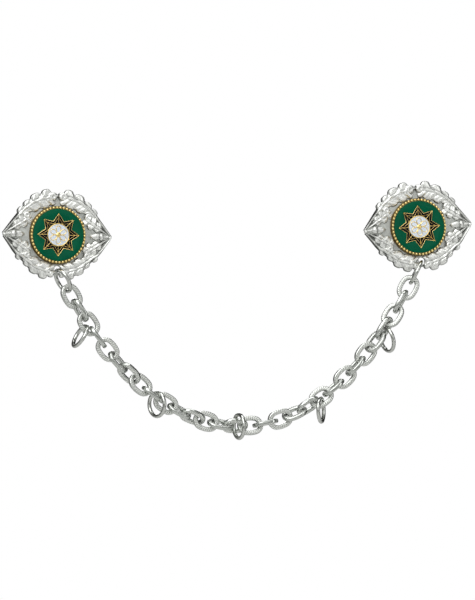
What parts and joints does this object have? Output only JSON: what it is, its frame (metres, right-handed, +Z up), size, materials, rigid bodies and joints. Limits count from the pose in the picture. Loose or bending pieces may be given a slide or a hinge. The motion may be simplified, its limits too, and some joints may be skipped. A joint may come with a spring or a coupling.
{
  "type": "order chain",
  "caption": "Chain for hanging orders: two oak-leaf brooches with round enamelled medallions joined by a hanging chain of oval links with jump rings.",
  "frame": {"origin": "midway between the centres of the two brooches, in the plane of their flat backs, where the pins hold them to the cloth", "axes": "+X to the viewer's right, from the left brooch to the right one; +Y backwards, into the cloth; +Z up. The front faces -Y and the chain hangs towards -Z"},
  "size_m": [0.2127, 0.0171, 0.1144],
  "materials": {
    "silver": "polished silver plate, finely knurled on the links' flat faces, chased on the leaves",
    "gilding": "polished gilding",
    "pin_steel": "plain wire",
    "green_enamel": "glossy enamel",
    "black_enamel": "glossy enamel",
    "white_enamel": "glossy enamel"
  },
  "bodies": {
    "root": {"rosette_left": "silver", "medallion_left": "gilding", "enamel_green_left": "green_enamel", "enamel_black_left": "black_enamel", "enamel_white_left": "white_enamel", "brooch_pin_left": "pin_steel", "connector_ring_left": "silver", "rosette_right": "silver", "medallion_right": "gilding", "enamel_green_right": "green_enamel", "enamel_black_right": "black_enamel", "enamel_white_right": "white_enamel", "brooch_pin_right": "pin_steel", "connector_ring_right": "silver", "link_01": "silver", "link_02": "silver", "link_03": "silver", "link_04": "silver", "link_05": "silver", "link_06": "silver", "link_07": "silver", "link_08": "silver", "link_09": "silver", "link_10": "silver", "link_11": "silver", "link_12": "silver", "link_13": "silver", "link_14": "silver", "link_15": "silver", "link_16": "silver", "link_17": "silver", "link_18": "silver", "link_19": "silver", "link_20": "silver", "link_21": "silver", "link_22": "silver", "link_23": "silver", "link_24": "silver", "link_25": "silver", "link_26": "silver", "link_27": "silver", "link_28": "silver", "link_29": "silver", "link_30": "silver", "order_ring_1": "silver", "order_ring_2": "silver", "order_ring_3": "silver", "order_ring_4": "silver", "order_ring_5": "silver"}
  },
  "joints": []
}
